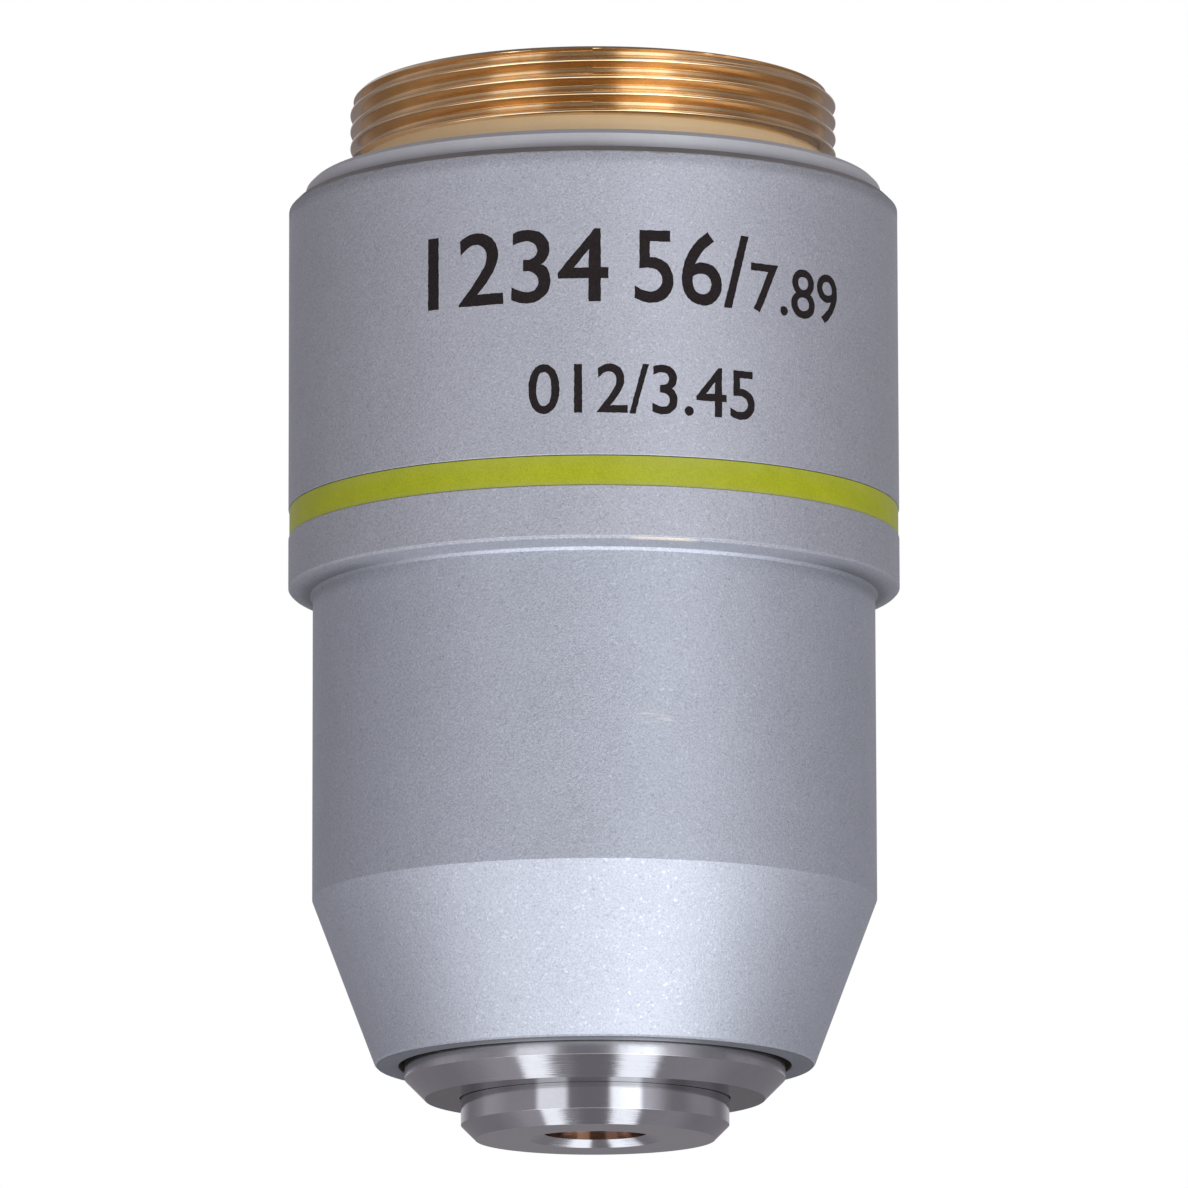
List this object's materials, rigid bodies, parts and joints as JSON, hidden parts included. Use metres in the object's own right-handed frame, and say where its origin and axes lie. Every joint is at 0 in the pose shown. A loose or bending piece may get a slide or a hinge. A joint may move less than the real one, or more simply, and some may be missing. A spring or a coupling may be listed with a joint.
{
  "type": "microscope objective",
  "caption": "Low-power microscope objective with a brass mounting thread, stepped painted sleeves, a colour ring and a bevelled steel nose.",
  "frame": {"origin": "centre of the mounting shoulder, where the shoulder plane crosses the axis of the mounting thread", "axes": "+Z along the optical axis from the nose to the mounting thread, away from the specimen; the printed figures face -Y"},
  "size_m": [0.0254, 0.0254, 0.0439],
  "materials": {
    "body_brass": "turned brass thread, satin plated flange, blackened bore",
    "upper_paint": "fine-grained satin silver paint on brass",
    "lower_paint": "fine-grained satin silver paint",
    "ring_colour": "yellow-green, satin",
    "nose_steel": "turned and polished, plated",
    "cell_brass": "turned brass, lightly tarnished",
    "black_brass": "matt black",
    "screw_steel": "plain steel",
    "crown_glass": "polished, coated, blackened rim",
    "flint_glass": "polished, coated, blackened rim"
  },
  "bodies": {
    "root": {"body_tube": "body_brass", "upper_sleeve": "upper_paint", "colour_ring": "ring_colour", "cone_sleeve": "lower_paint", "lens_barrel": "nose_steel", "nose_cell": "nose_steel", "front_lens": "crown_glass", "front_lens_ring": "black_brass", "single_lens_cell": "cell_brass", "single_lens": "crown_glass", "doublet_cell": "cell_brass", "doublet_crown": "crown_glass", "doublet_flint": "flint_glass", "rear_cell": "cell_brass", "rear_flint": "flint_glass", "rear_crown": "crown_glass", "aperture_stop": "black_brass", "stack_ring": "black_brass", "centring_screws": "screw_steel", "parfocal_shim": "cell_brass", "barrel_lock_ring": "black_brass"}
  },
  "joints": []
}
